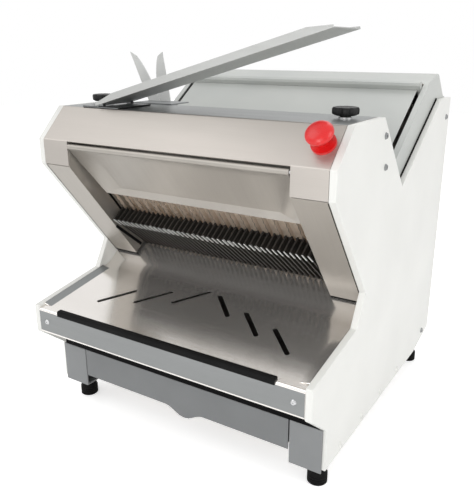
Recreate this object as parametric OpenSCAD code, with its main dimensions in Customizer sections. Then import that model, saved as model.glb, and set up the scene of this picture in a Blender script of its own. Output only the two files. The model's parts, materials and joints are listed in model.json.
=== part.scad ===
/* [Body] */
// Width over the outer faces of the two side panels
body_w = 590; // [570:1:680]
// Depth from the rubber edge strip to the rear edges of the side panels
body_d = 650; // [640:1:720]
// Height of the flat top of the head above the table
top_h = 600; // [590:1:640]
// Thickness of a side panel
panel_t = 12; // [8:1:16]
// Thickness of the folded stainless sheet
sheet_t = 2; // [1:0.1:2.5]
// Outside bend radius of the folded sheet
bend_r = 5; // [3:0.5:8]
// Height of the undersides of the side panels
panel_bottom_h = 52; // [46:1:58]

/* [Head and mouth] */
// Set-back of the upright end faces of the head
cap_set = 52; // [46:1:58]
// Set-back of the rear edge of the flat top
head_rear_set = 236; // [225:1:245]
// Tilt of the mouth and the blades from the upright
blade_tilt = 38.471; // [36:0.001:40]
// Width of a column beside the mouth
column_w = 60; // [53:1:64]

/* [Loading bay] */
// Set-back of the bottom of the V cut in the side panels
vee_set = 357; // [345:1:370]
// Distance from the rear edge to the top of the V cut
vee_top_back = 75; // [65:1:85]
// Distance from the rear edge to the top of the chute's slope
chute_back = 126; // [115:1:140]
// Width of the chute's guide slots
slot_w = 8; // [7:0.5:10]

/* [Slice tray] */
// Bend radius where the tray floor turns up under the comb
tray_bend_r = 60; // [20:1:80]
// Length of a tray slot
tray_slot_l = 80; // [50:1:90]
// Width of a tray slot
tray_slot_w = 9; // [3:0.5:12]

/* [Blades] */
// Distance between neighbouring slices
blade_pitch = 11.15; // [9:0.05:11.3]
// Width of a blade strip
blade_w = 6; // [4:0.5:12]
// Thickness of a blade strip
blade_t = 0.8; // [0.5:0.1:1.5]
// Throw of the eccentrics, half the blade stroke
throw = 6; // [3:0.5:6.5]
// Diameter of the blade frames' guide rods
guide_d = 12; // [10:1:14]
// Thickness of a comb fin
fin_t = 3; // [2:0.5:5]

/* [Feet and drawer] */
// Diameter of a rubber foot
foot_d = 35; // [28:1:40]
// Height of a rubber foot
foot_h = 26; // [18:1:32]
// Height of the underside of the legs
leg_bottom_h = 45; // [40:1:50]
// Width of a leg
leg_w = 53; // [45:1:60]
// Set-back of the legs and the crumb drawer's front
lower_set = 60; // [54:1:70]

/* [Bagging trough] */
// Length of the bagging trough
trough_l = 465; // [380:1:480]
// Width of the bagging trough
trough_w = 100; // [90:1:130]
// Height of the bagging trough's flanges
trough_flange = 12; // [8:1:20]
// Tilt of the bagging trough
trough_tilt = 15.5; // [8:0.5:30]

/* [Hidden] */
$fn = 48;
// Play between a shaft and its bore, and between rigid neighbours
run = 0.06;
gap = 0.3;
plate_t = 3;
inner_x = body_w / 2 - panel_t;
mouth_x = inner_x - column_w;
mouth_w = 2 * mouth_x;
function yf(set) = set - body_d / 2;
function yr(back) = body_d / 2 - back;

// Heights and lengths down the mouth, drawn for a top at 600 and moved with it
function level(h) = h * top_h / 600;
cap_top_h = level(545);
cap_bottom_h = level(500);
mouth_h = level(315);
vee_h = level(467);
rear_h = level(604);
tray_front_h = level(227);
tray_bottom_h = level(177);
lower_top_h = level(127);
column_l = level(272);
slope_set = cap_set + top_h - cap_top_h;
mouth_set = cap_set + (cap_bottom_h - mouth_h) * tan(blade_tilt);

// Folded sheet: a path with rounded corners, thickened to its left
function unit(v) = v / norm(v);
function left_of(a, b) = let (d = unit(b - a)) [-d[1], d[0]];
function corner(a, b, c, r, steps) =
    let (u = unit(a - b), v = unit(c - b), half = acos(u * v) / 2,
         p = b + u * r / tan(half), q = b + v * r / tan(half),
         m = b + unit(u + v) * r / sin(half),
         a0 = atan2(p[1] - m[1], p[0] - m[0]),
         turn = (atan2(q[1] - m[1], q[0] - m[0]) - a0 + 540) % 360 - 180)
    [for (k = [0:steps]) m + r * [cos(a0 + turn * k / steps), sin(a0 + turn * k / steps)]];
function bends(p, r, steps = 4) =
    [for (i = [1:len(p) - 2]) each corner(p[i - 1], p[i], p[i + 1], r, steps)];
function bent(p, r) = concat([p[0]], bends(p, r), [p[len(p) - 1]]);
function inset(p, i, t) =
    i == 0 ? p[0] + t * left_of(p[0], p[1])
    : i == len(p) - 1 ? p[i] + t * left_of(p[i - 1], p[i])
    : let (a = left_of(p[i - 1], p[i]), m = unit(a + left_of(p[i], p[i + 1]))) p[i] + m * t / (m * a);
function strip(p, t) = concat(p, [for (i = [len(p) - 1:-1:0]) inset(p, i, t)]);
module along_x(x0, x1) translate([x0, 0, 0]) rotate([90, 0, 90]) linear_extrude(x1 - x0) children();
module both_sides() for (side = [0, 1]) mirror([side, 0, 0]) children();
module sheet(path, x0, x1) along_x(x0, x1) polygon(strip(path, sheet_t));

// The mouth's own frame: Y square to the mouth towards the rear, Z up along the blades
function mouth_point(n, u) =
    [yf(cap_set) + n * cos(blade_tilt) - u * sin(blade_tilt),
     cap_bottom_h + n * sin(blade_tilt) + u * cos(blade_tilt)];
module in_mouth() translate([0, yf(cap_set), cap_bottom_h]) rotate([blade_tilt, 0, 0]) children();

// The chute's own frame: Y up the chute from the comb tips, Z square to the chute
tip_u = -level(153);
chute_origin = mouth_point(0, tip_u);
chute_top = [yr(chute_back), rear_h + 37];
chute_angle = atan2(chute_top[1] - chute_origin[1], chute_top[0] - chute_origin[0]);
chute_l = norm(chute_top - chute_origin);
module in_chute() translate([0, chute_origin[0], chute_origin[1]]) rotate([chute_angle, 0, 0]) children();
function chute_point(s, h) =
    chute_origin + s * [cos(chute_angle), sin(chute_angle)] + h * [-sin(chute_angle), cos(chute_angle)];

// The stop button's own frame: Z square to the sloped face
slope_angle = atan2(top_h - cap_top_h, slope_set - cap_set);
button_x = inner_x - 23;
button_up = 42;
module at_button()
    translate([button_x, yf(cap_set) + button_up * cos(slope_angle),
               cap_top_h + button_up * sin(slope_angle)]) rotate([slope_angle, 0, 0]) children();

// Side panels, their bolts and the seals of the V cut
lip_set = 2;
panel_points = [
    [yf(slope_set), top_h], [yf(head_rear_set), top_h], [yf(vee_set), vee_h], [yr(vee_top_back), rear_h],
    [yr(0), rear_h], [yr(0), panel_bottom_h + 20], [yr(100), panel_bottom_h],
    [yf(lower_set + plate_t), panel_bottom_h],
    [yf(lower_set + plate_t), lower_top_h], [yf(lip_set), tray_bottom_h], [yf(lip_set), tray_front_h + 5],
    [yf(mouth_set - level(31)), mouth_h - level(55)], [yf(mouth_set), mouth_h], [yf(cap_set), cap_bottom_h],
    [yf(cap_set), cap_top_h]];
bolt_d = 6;
bolt_spots = concat([[yf(head_rear_set + 7), top_h - 30], [yf(head_rear_set + 16), top_h - 82],
                     [yr(26), rear_h - 39], [yr(53), panel_bottom_h + 31]],
                    [for (i = [0:3]) [yf(lower_set + 62 + 100 * i), panel_bottom_h + 14]]);
module side_panel() difference() {
    along_x(inner_x, body_w / 2) polygon(panel_points);
    for (spot = bolt_spots) translate([inner_x - 1, spot[0], spot[1]]) rotate([0, 90, 0])
        cylinder(d = bolt_d + 2 * run, h = panel_t + 2);
}
module left_side_panel() color("white") mirror([1, 0, 0]) side_panel();
module right_side_panel() color("white") side_panel();
module panel_bolts() color("dimgray") both_sides() for (spot = bolt_spots)
    translate([inner_x, spot[0], spot[1]]) rotate([0, 90, 0]) {
        cylinder(d = bolt_d, h = panel_t);
        translate([0, 0, panel_t]) cylinder(d1 = 2 * bolt_d, d2 = 1.4 * bolt_d, h = 3);
    }
seal_t = 3;
vee_low = [yf(vee_set), vee_h];
vee_high = [yr(vee_top_back), rear_h];
vee_run = unit(vee_high - vee_low);
module vee_seals() color("black") both_sides()
    along_x(inner_x, inner_x + panel_t / 2) polygon(strip([vee_low + 6 * vee_run, vee_high], seal_t));

// Base, legs and feet
base_h = 60;
base_set = 110;
cover_back = 9;
foot_x = inner_x - 16;
foot_front_set = 98;
foot_rear_back = 45;
stem_d = 10;
module base_plate() color("lightgray")
    translate([-inner_x, yf(base_set), base_h])
    cube([2 * inner_x, body_d - base_set - cover_back, plate_t]);
module leg(foot_y, flange_y0, flange_y1, face_y, face_w, face_h, web_y) difference() {
    union() {
        translate([inner_x - leg_w, face_y, leg_bottom_h]) cube([face_w, plate_t, face_h]);
        translate([inner_x - leg_w, flange_y0, leg_bottom_h]) cube([leg_w, flange_y1 - flange_y0, plate_t]);
        translate([inner_x - leg_w, web_y, leg_bottom_h]) cube([plate_t, 20, base_h - leg_bottom_h]);
    }
    translate([foot_x, foot_y, leg_bottom_h - 1]) cylinder(d = stem_d + 2 * run, h = plate_t + 2);
}
module front_leg() leg(yf(foot_front_set), yf(lower_set), yf(base_set + 20), yf(lower_set),
                       leg_w + panel_t / 2, lower_top_h - leg_bottom_h, yf(base_set));
module rear_leg() leg(yr(foot_rear_back), yr(90), yr(cover_back), yr(cover_back + plate_t),
                      leg_w, base_h - leg_bottom_h, yr(90));
module left_front_leg() color("silver") mirror([1, 0, 0]) front_leg();
module right_front_leg() color("silver") front_leg();
module left_rear_leg() color("silver") mirror([1, 0, 0]) rear_leg();
module right_rear_leg() color("silver") rear_leg();
module at_feet() both_sides() for (y = [yf(foot_front_set), yr(foot_rear_back)])
    translate([foot_x, y, 0]) children();
module rubber_feet() color("black") at_feet() {
    cylinder(d = foot_d, h = foot_h * 0.6);
    translate([0, 0, foot_h * 0.6]) cylinder(d1 = foot_d, d2 = foot_d * 0.8, h = foot_h * 0.4);
}
nut_h = 8;
module foot_stems() color("silver") at_feet() {
    translate([0, 0, foot_h]) cylinder(d = stem_d, h = leg_bottom_h + plate_t + 7 - foot_h);
    translate([0, 0, leg_bottom_h - nut_h]) cylinder(d = stem_d * 1.9, h = nut_h, $fn = 6);
}

// Rear cover, power inlet and control box
inlet_x = 58 - inner_x;
inlet_h = level(270);
inlet_w = 48;
inlet_t = 28;
vent_l = 60;
vent_w = 5;
vent_x = 60;
module rear_cover() color("lightgray") difference() {
    translate([-inner_x, yr(cover_back), base_h]) cube([2 * inner_x, sheet_t, rear_h - base_h]);
    translate([inlet_x - inlet_w / 2, yr(cover_back) - 1, inlet_h - inlet_t / 2])
        cube([inlet_w, sheet_t + 2, inlet_t]);
    for (i = [0:9], row = [-1, 1])
        translate([vent_x + row * 45 - vent_l / 2, yr(cover_back) - 1, 110 + i * 14])
        cube([vent_l, sheet_t + 2, vent_w]);
}
module power_inlet() color("black") difference() {
    union() {
        translate([inlet_x - inlet_w / 2 + run, yr(cover_back + 20), inlet_h - inlet_t / 2 + run])
            cube([inlet_w - 2 * run, 20 + sheet_t, inlet_t - 2 * run]);
        translate([inlet_x - inlet_w / 2 - 9, yr(cover_back - sheet_t), inlet_h - inlet_t / 2 - 3])
            cube([inlet_w + 18, plate_t, inlet_t + 6]);
    }
    difference() {
        translate([inlet_x - 13, yr(cover_back + 14), inlet_h - 9]) cube([26, 40, 18]);
        for (pin = [-1:1])
            translate([inlet_x + pin * 7 - 1, yr(cover_back + 15), inlet_h - (pin == 0 ? -1 : 4)])
            cube([2, 12, 4]);
    }
}
module control_box() color("dimgray")
    translate([inlet_x - 45, yr(cover_back + 50), inlet_h + 40]) cube([90, 50, 100]);
tie_d = 12;
tie_h = inlet_h + 150;
module tie_bars() color("silver") for (back = [50, 210])
    translate([-inner_x, yr(back), tie_h]) rotate([0, 90, 0])
        cylinder(d = tie_d, h = 2 * inner_x);

// Head cover: one folded sheet whose middle stops at the mouth flap
knob_x = inner_x - 33;
knob_set = 180;
stud_d = 8;
sleeve_d = 24;
head_path = [[yf(head_rear_set), top_h - 22], [yf(head_rear_set), top_h], [yf(slope_set), top_h],
             [yf(cap_set), cap_top_h]];
module head_cover() color("silver") difference() {
    union() {
        sheet(bent(head_path, bend_r), -mouth_x, mouth_x);
        both_sides()
            sheet(bent(concat(head_path, [[yf(cap_set), cap_bottom_h]]), bend_r), mouth_x, inner_x);
    }
    both_sides() translate([knob_x, yf(knob_set), top_h - 10]) cylinder(d = stud_d + 1, h = 20);
    at_button() translate([0, 0, -10]) cylinder(d = sleeve_d + 2 * gap, h = 20);
}

// Columns beside the mouth: a sloped face and an inner wall each
rod_n = 49;
bar_t = 13;
bar_gap = 2;
front_n = rod_n - bar_gap / 2 - bar_t;
rear_n = rod_n + bar_gap / 2;
column_d = rear_n + bar_t + 3;
wall_top_u = -8;
wall_n = front_n - 1;
fold_n = (cap_top_h - cap_bottom_h) * sin(blade_tilt);
fold_u = (cap_top_h - cap_bottom_h) * cos(blade_tilt);
flap_n = fold_n - 4;
flap_u = fold_u - 9;
function cap_inside(u) = u * tan(blade_tilt) + (sheet_t + 1) / cos(blade_tilt);
wall_points = [[0, -2], [0, -column_l], [column_d, -column_l], [column_d, wall_top_u], [wall_n, wall_top_u],
               [wall_n, flap_u + 5], [cap_inside(flap_u + 5), flap_u + 5], [cap_inside(0.5), 0.5]];
module column() in_mouth() {
    translate([mouth_x, 0, -column_l]) cube([inner_x - mouth_x, sheet_t, column_l - 2]);
    along_x(mouth_x, mouth_x + sheet_t) polygon(wall_points);
}
module left_column() color("silver") mirror([1, 0, 0]) column();
module right_column() color("silver") column();

// Mouth flap: a pressed panel with a sunk field, hung on a pin across the mouth
flap_x = mouth_x - 2;
flap_foot = flap_u - level(120);
flap_front = flap_n - 4;
flap_sink = 9;
flap_t = 1.5;
flap_pin_d = 6;
flap_rim = [[flap_x, flap_u - 4], [flap_x - 15, flap_foot]];
flap_field = [[flap_x - 43, 0], [flap_x - 52, flap_foot + 10]];
function ring(edge, n) = [
    [-edge[0][0], n, edge[0][1]], [edge[0][0], n, edge[0][1]],
    [edge[1][0], n, edge[1][1]], [-edge[1][0], n, edge[1][1]]];
module pressed_panel() polyhedron(
    points = concat(ring(flap_rim, flap_front), ring(flap_field, flap_front + flap_sink),
                    ring(flap_rim, flap_front + flap_t), ring(flap_field, flap_front + flap_sink + flap_t)),
    faces = concat([[4, 5, 6, 7], [15, 14, 13, 12]],
                   [for (i = [0:3]) let (j = (i + 1) % 4) [i, j, j + 4, i + 4]],
                   [for (i = [0:3]) let (j = (i + 1) % 4) [i + 12, j + 12, j + 8, i + 8]],
                   [for (i = [0:3]) let (j = (i + 1) % 4) [j, i, i + 8, j + 8]]));
module mouth_flap() color("silver") in_mouth() difference() {
    union() {
        pressed_panel();
        translate([-flap_x, flap_n, flap_u]) rotate([0, 90, 0])
            cylinder(d = flap_pin_d + 4, h = 2 * flap_x);
    }
    translate([-flap_x - 1, flap_n, flap_u]) rotate([0, 90, 0])
        cylinder(d = flap_pin_d + 2 * run, h = 2 * flap_x + 2);
}
module flap_pin() color("gray") in_mouth() translate([-mouth_x, flap_n, flap_u]) rotate([0, 90, 0])
    cylinder(d = flap_pin_d, h = mouth_w);

// Slice tray with its lip, slots, coved sides, edge strip and screws
lower_t = 2;
shelf_u = -column_l - 7;
tray_front = [yf(lip_set), tray_front_h];
lip_foot = [yf(lip_set), tray_bottom_h];
lip_end = [yf(lower_set + lower_t), tray_bottom_h];
tray_rear = mouth_point(-34, shelf_u);
tray_path = concat([mouth_point(wall_n - 2, shelf_u)],
                   corner(mouth_point(wall_n - 2, shelf_u), tray_rear, tray_front, tray_bend_r, 8),
                   bends([tray_rear, tray_front, lip_foot, lip_end], bend_r), [lip_end]);
tray_angle = atan2(tray_rear[1] - tray_front_h, tray_rear[0] - yf(lip_set));
tray_floor_l = norm(tray_rear - tray_front);
cove_w = 18;
cove_h = 4;
// Each slot: its middle as shares of half the mouth and of the tray floor, and its turn
tray_slots = [[-0.755, 0.485, 54], [-0.445, 0.615, 54], [-0.135, 0.76, 54],
              [0.195, 0.755, -46], [0.54, 0.6, -46], [0.86, 0.48, -46]];
screw_d = 5;
strip_w = 2 * (inner_x - 51);
strip_h = 6;
module on_tray() translate([0, yf(lip_set), tray_front_h]) rotate([tray_angle, 0, 0]) children();
module tray_slot() for (end = [-1, 1]) translate([end * (tray_slot_l - tray_slot_w) / 2, 0, 0])
    cylinder(d = tray_slot_w, h = 20, center = true);
module tray_slot_middle() cube([tray_slot_l - tray_slot_w, tray_slot_w, 20], center = true);
module at_tray_screws() both_sides()
    translate([inner_x - 19, yf(lip_set), (tray_front_h + tray_bottom_h) / 2]) rotate([90, 0, 0])
        children();
module slice_tray() color("silver") difference() {
    union() {
        sheet(tray_path, -inner_x, inner_x);
        both_sides() on_tray() translate([0, tray_floor_l - 20, -sheet_t]) rotate([90, 0, 0])
            linear_extrude(tray_floor_l - 3 * bend_r - 20)
            polygon([[inner_x - cove_w, 0], [inner_x, 0],
                     [inner_x, cove_h + sheet_t], [inner_x - cove_w, sheet_t]]);
    }
    for (slot = tray_slots)
        on_tray() translate([slot[0] * mouth_x, slot[1] * tray_floor_l, 0]) rotate([0, 0, slot[2]]) {
            tray_slot();
            tray_slot_middle();
        }
    at_tray_screws() cylinder(d = screw_d + 2 * run, h = 20, center = true);
}
module tray_screws() color("silver") at_tray_screws() {
    translate([0, 0, -12]) cylinder(d = screw_d, h = 12);
    cylinder(d1 = 2 * screw_d, d2 = 1.5 * screw_d, h = lip_set - 0.2);
}
module edge_strip() color("black") along_x(-strip_w / 2, strip_w / 2) polygon([
    [yf(0), tray_front_h - bend_r], [yf(lip_set), tray_front_h - bend_r], [yf(lip_set), tray_front_h],
    [yf(12), tray_front_h + (12 - lip_set) * tan(tray_angle)], [yf(12), tray_front_h + strip_h - 2],
    [yf(10), tray_front_h + strip_h], [yf(2), tray_front_h + strip_h],
    [yf(0), tray_front_h + strip_h - 2]]);
module front_skirt() color("dimgray")
    translate([-inner_x, yf(lower_set), lower_top_h + gap])
    cube([2 * inner_x, lower_t, tray_bottom_h - lower_top_h - gap]);
deflector = mouth_point(22, shelf_u - 2 * sheet_t);
module crumb_deflector() color("silver")
    translate([-inner_x, deflector[0] - sheet_t, lower_top_h + 3])
    cube([2 * inner_x, sheet_t, deflector[1] - lower_top_h - 4]);

// Crumb drawer and its runners
drawer_x = inner_x - leg_w - 2;
drawer_h0 = 72;
drawer_top = lower_top_h - 5;
front_low = drawer_h0 - 2;
pull_x = 14;
pull_w = 44;
pull_drop = 15;
runner_x = 130;
module drawer_front() translate([0, yf(lower_set + lower_t), 0]) rotate([90, 0, 0]) linear_extrude(lower_t)
    polygon(concat(
        [[-drawer_x, front_low], [-drawer_x, lower_top_h], [drawer_x, lower_top_h], [drawer_x, front_low]],
        [for (i = [12:-1:-12]) [pull_x + pull_w * i / 12, front_low - pull_drop * (1 + cos(15 * i)) / 2]]));
module crumb_drawer() color("gray") {
    drawer_front();
    translate([pull_x - pull_w / 4, yf(lower_set), front_low - pull_drop * 0.9])
        cube([pull_w / 2, 10, 1.5]);
    difference() {
        translate([-drawer_x + 6, yf(lower_set + lower_t), drawer_h0])
            cube([2 * drawer_x - 12, drawer_d - lower_t, drawer_top - drawer_h0]);
        translate([-drawer_x + 8, yf(lower_set + 2 * lower_t), drawer_h0 + 2])
            cube([2 * drawer_x - 16, drawer_d - 3 * lower_t, drawer_top]);
    }
}
module drawer_runners() color("black") both_sides()
    translate([runner_x - 10, yf(base_set), base_h + plate_t])
    cube([20, drawer_d + lower_set - base_set, drawer_h0 - base_h - plate_t]);

// Blade frames on their guide rods
rod_x = inner_x - 15;
rail_x = inner_x - 28;
rail_w = 19;
bar_h = 16;
blade_top = 4;
blade_foot = -level(290);
lug_d = guide_d + 10;
lug_l = 24;
pin_u = blade_foot - 55;
pin_d = 8;
pin_x = 30;
eye_w = 12;
rod_low = blade_foot - 35;
block_l = 16;
module blade_frame(n, lugs, ear_x, ear_points) in_mouth() difference() {
    union() {
        for (u = [blade_top, blade_foot - bar_h]) translate([-rail_x, n, u])
            cube([2 * rail_x, bar_t, bar_h]);
        both_sides() {
            translate([rail_x - rail_w, n, blade_foot - 1])
                cube([rail_w, bar_t, blade_top - blade_foot + 2]);
            for (u = lugs) {
                translate([rod_x, rod_n, u - lug_l]) cylinder(d = lug_d, h = lug_l);
                translate([rail_x - 2, n, u - lug_l]) cube([rod_x - rail_x - 3, bar_t, lug_l]);
            }
        }
        for (side = [-1, 1]) along_x(ear_x + side * (eye_w + 4) - 3, ear_x + side * (eye_w + 4) + 3)
            polygon(ear_points);
        translate([ear_x - eye_w - 4, rod_n, pin_u]) rotate([0, 90, 0])
            cylinder(d = pin_d, h = 2 * eye_w + 8);
    }
    both_sides() translate([rod_x, rod_n, blade_foot - 30])
        cylinder(d = guide_d + 2 * run, h = 60 - blade_foot);
}
ear_top = blade_foot - bar_h + 1;
ear_step = ear_top - 17;
ear_low = pin_u - 8;
// Upper ends of the lugs; the two frames' lugs sit between each other with room for the stroke
front_lugs = [-16, -level(250)];
lug_step = lug_l + 16;
rear_lugs = [front_lugs[0] - lug_step, front_lugs[1] + lug_step];
module front_frame() color("silver") blade_frame(front_n, front_lugs, -pin_x, [
    [front_n, ear_top], [front_n, ear_low], [rod_n + 7, ear_low], [rod_n + 7, ear_step],
    [rod_n - 0.5, ear_step], [rod_n - 0.5, ear_top]]);
module rear_frame() color("silver") blade_frame(rear_n, rear_lugs, pin_x, [
    [rear_n + bar_t, ear_top], [rear_n + bar_t, ear_low], [rod_n - 7, ear_low], [rod_n - 7, ear_step],
    [rod_n + 0.5, ear_step], [rod_n + 0.5, ear_top]]);
blade_count = 2 * floor(mouth_w / (2 * blade_pitch) + 0.001);
function blade_x(i) = (i - (blade_count - 1) / 2) * blade_pitch;
module blades(n, first) in_mouth() for (i = [first:2:blade_count - 1])
    translate([blade_x(i) - blade_t / 2, n + (bar_t - blade_w) / 2, blade_foot])
    cube([blade_t, blade_w, blade_top - blade_foot]);
module front_blades() color("silver") blades(front_n, 0);
module rear_blades() color("silver") blades(rear_n, 1);
module guide_rods() color("silver") in_mouth() both_sides()
    translate([rod_x, rod_n, rod_low]) cylinder(d = guide_d, h = wall_top_u + block_l - rod_low);
module guide_blocks() color("gray") in_mouth() both_sides() difference() {
    for (u = [rod_low, wall_top_u])
        translate([rod_x - lug_d / 2, rod_n - lug_d / 2, u])
            cube([inner_x - rod_x + lug_d / 2, lug_d, block_l]);
    translate([rod_x, rod_n, rod_low - 1])
        cylinder(d = guide_d + 2 * run, h = wall_top_u + block_l - rod_low + 2);
}

// Comb of fins in front of the blades that keeps the slices apart
fin_back = front_n - 1;
fin_drop = fin_back * tan(blade_tilt - chute_angle);
comb_rods = [[fin_back - 14, tip_u - level(37)], [fin_back - 7, tip_u - level(85)]];
comb_rod_d = 8;
fin_low = -column_l - 1;
module slice_comb() color("gainsboro") in_mouth() {
    for (i = [0.5:blade_count - 1.5]) along_x(blade_x(i) - fin_t / 2, blade_x(i) + fin_t / 2)
        polygon([[0, tip_u], [fin_back, tip_u - fin_drop], [fin_back, fin_low], [fin_back - 6, fin_low]]);
    for (spot = comb_rods) translate([-mouth_x, spot[0], spot[1]]) rotate([0, 90, 0])
        cylinder(d = comb_rod_d, h = mouth_w);
}

// Eccentric drive below the blades
crank_u = pin_u - 105;
crank = mouth_point(rod_n, crank_u);
shaft_d = 24;
eccentric_d = 40;
eccentric_w = 14;
pulley_x = -115;
pulley_w = 20;
crank_pulley_r = body_d * 0.0925;
motor_pulley_r = crank_pulley_r / 2;
rim_h = 5;
// The crumb drawer ends in front of the crank pulley
drawer_d = crank[0] - crank_pulley_r - rim_h - 7 - yf(lower_set);
eye_r = 2 * throw + pin_d / 2 + 0.5;
stand_x = 85;
stand_w = 20;
stand_d = 48;
module on_crank() translate([0, crank[0], crank[1]]) rotate([blade_tilt, 0, 0]) children();
module crankshaft() color("silver") on_crank() {
    translate([pulley_x - pulley_w / 2 - 5, 0, 0]) rotate([0, 90, 0])
        cylinder(d = shaft_d, h = stand_x + stand_w + 5 - pulley_x + pulley_w / 2);
    for (side = [-1, 1]) translate([side * pin_x - eccentric_w / 2, side * throw, 0]) rotate([0, 90, 0])
        cylinder(d = eccentric_d, h = eccentric_w);
}
module pulley(r, bore) rotate([0, 90, 0]) difference() {
    union() {
        cylinder(r = r, h = pulley_w);
        for (z = [0, pulley_w - 2]) translate([0, 0, z]) cylinder(r = r + rim_h, h = 2);
    }
    translate([0, 0, -1]) cylinder(d = bore + 2 * run, h = pulley_w + 2);
}
module crank_pulley() color("dimgray")
    translate([pulley_x - pulley_w / 2, crank[0], crank[1]]) pulley(crank_pulley_r, shaft_d);
module drive_rod(side) on_crank() translate([side * pin_x - eye_w / 2, side * throw, 0]) difference() {
    union() {
        rotate([0, 90, 0]) cylinder(d = eccentric_d + 18, h = eye_w);
        translate([0, 0, pin_u - crank_u]) rotate([0, 90, 0]) cylinder(r = eye_r + 5, h = eye_w);
        translate([0, -7, 0]) cube([eye_w, 14, pin_u - crank_u]);
    }
    translate([-1, 0, 0]) rotate([0, 90, 0]) cylinder(d = eccentric_d + 2 * run, h = eye_w + 2);
    translate([-1, 0, pin_u - crank_u]) rotate([0, 90, 0]) cylinder(r = eye_r, h = eye_w + 2);
}
module front_rod() color("gray") drive_rod(-1);
module rear_rod() color("gray") drive_rod(1);
module bearing_stands() color("gray") both_sides() difference() {
    translate([stand_x - stand_w / 2, crank[0] - stand_d / 2, base_h + plate_t])
        cube([stand_w, stand_d, crank[1] + stand_d / 2 - base_h - plate_t]);
    translate([0, crank[0], crank[1]]) rotate([0, 90, 0])
        cylinder(d = shaft_d + 2 * run, h = stand_x + stand_w);
}

// Motor, its pulley and the belt
motor_r = body_d / 10;
motor = [yr(cover_back + motor_r + 10), base_h + motor_r + 25];
motor_x = -60;
motor_l = 190;
motor_shaft_d = 18;
motor_bore_l = 30;
belt_t = 5;
module at_motor(x) translate([x, motor[0], motor[1]]) rotate([0, 90, 0]) children();
module motor_housing() color("dimgray") at_motor(motor_x) difference() {
    union() {
        cylinder(r = motor_r, h = motor_l - 25);
        translate([0, 0, motor_l - 25]) cylinder(r = motor_r - 8, h = 25);
    }
    translate([0, 0, -1]) cylinder(d = motor_shaft_d + 2 * run, h = motor_bore_l + 1);
}
module motor_cradle() color("gray") difference() {
    for (x = [motor_x + 20, motor_x + 120])
        translate([x, motor[0] - motor_r * 0.85, base_h + plate_t])
            cube([20, motor_r * 1.7, motor[1] - motor_r / 2 - base_h - plate_t]);
    at_motor(motor_x) cylinder(r = motor_r + run, h = motor_l);
}
module motor_pulley() color("dimgray") {
    translate([pulley_x - pulley_w / 2, motor[0], motor[1]]) pulley(motor_pulley_r, 0);
    at_motor(pulley_x - pulley_w / 2)
        cylinder(d = motor_shaft_d, h = motor_x + motor_bore_l - 2 - pulley_x + pulley_w / 2);
}
belt_span = motor - crank;
belt_base = atan2(belt_span[1], belt_span[0]);
belt_wrap = acos((crank_pulley_r - motor_pulley_r) / norm(belt_span));
function around(centre, r, angle) = centre + r * [cos(angle), sin(angle)];
arc_steps = 40;
function belt_arc(centre, r, from, to) =
    [for (i = [0:arc_steps]) around(centre, r, from + (to - from) * i / arc_steps)];
module belt_outline(extra) polygon(concat(
    belt_arc(crank, crank_pulley_r + extra, belt_base + belt_wrap, belt_base - belt_wrap + 360),
    belt_arc(motor, motor_pulley_r + extra, belt_base - belt_wrap, belt_base + belt_wrap)));
belt_w = pulley_w - 4 - 2 * gap;
module drive_belt() color("black") along_x(pulley_x - belt_w / 2, pulley_x + belt_w / 2)
    difference() {
        belt_outline(gap + belt_t);
        belt_outline(gap);
    }

// Loaf chute: a sloped bed with a rounded shoulder, two side walls and an apron behind the blades
bed_start = column_d + 2;
bed_low = chute_point(bed_start, 0);
apron_l = level(55);
apron_low = bed_low + apron_l * [sin(blade_tilt), -cos(blade_tilt)];
shoulder_back = 71;
shoulder_h = 52;
shoulder_r = 20;
pusher_s = chute_l - 22;
runner_l = 36;
slot_start = bed_start + 50;
slot_end = chute_l - 8;
chute_rear = [[yr(cover_back), rear_h + sheet_t], [yr(cover_back + 10), rear_h + sheet_t],
              [yr(shoulder_back), rear_h + shoulder_h], chute_top];
module loaf_chute() color("lightgray") difference() {
    union() {
        sheet(bent(concat(chute_rear, [bed_low]), shoulder_r), -inner_x, inner_x);
        sheet([bed_low, apron_low], -mouth_x, mouth_x);
        both_sides() along_x(inner_x - sheet_t, inner_x)
            polygon(concat(bent(concat(chute_rear, [chute_point(0.44 * chute_l, 0)]), shoulder_r),
                           [vee_low + [-30, -30], vee_high + [0, -14], [yr(cover_back), rear_h - 14]]));
    }
    both_sides() in_chute() translate([rod_x - slot_w / 2, slot_start, -20])
        cube([slot_w, slot_end - slot_start, 40]);
}

// Loaf pusher on two rods under the chute
pusher_t = 12;
pusher_h = 14;
arm_t = slot_w - 2;
runner_h = -32;
push_rod_d = 12;
clamp_l = 12;
rod_front_s = slot_start - clamp_l - 11;
rod_rear_s = chute_l + clamp_l;
module loaf_pusher() color("lightgray") in_chute() {
    along_x(-rod_x - arm_t / 2, rod_x + arm_t / 2) translate([pusher_s, 0]) polygon([
        [-pusher_t / 2, gap], [pusher_t / 2, gap], [pusher_t / 2, pusher_h - 4], [pusher_t / 4, pusher_h],
        [-pusher_t / 4, pusher_h], [-pusher_t / 2, pusher_h - 4]]);
    both_sides() translate([rod_x - arm_t / 2, pusher_s - pusher_t / 2, runner_h + 12])
        cube([arm_t, pusher_t, gap - runner_h - 12]);
}
module push_rod_bore() translate([rod_x, 0, runner_h]) rotate([-90, 0, 0])
    cylinder(d = push_rod_d + 2 * run, h = rod_rear_s + 1);
module pusher_runners() color("black") in_chute() both_sides() difference() {
    translate([rod_x - 11, pusher_s - runner_l / 2, runner_h - 12]) cube([22, runner_l, 24]);
    push_rod_bore();
}
module pusher_rods() color("silver") in_chute() both_sides()
    translate([rod_x, rod_front_s, runner_h]) rotate([-90, 0, 0])
        cylinder(d = push_rod_d, h = rod_rear_s - rod_front_s);
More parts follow.
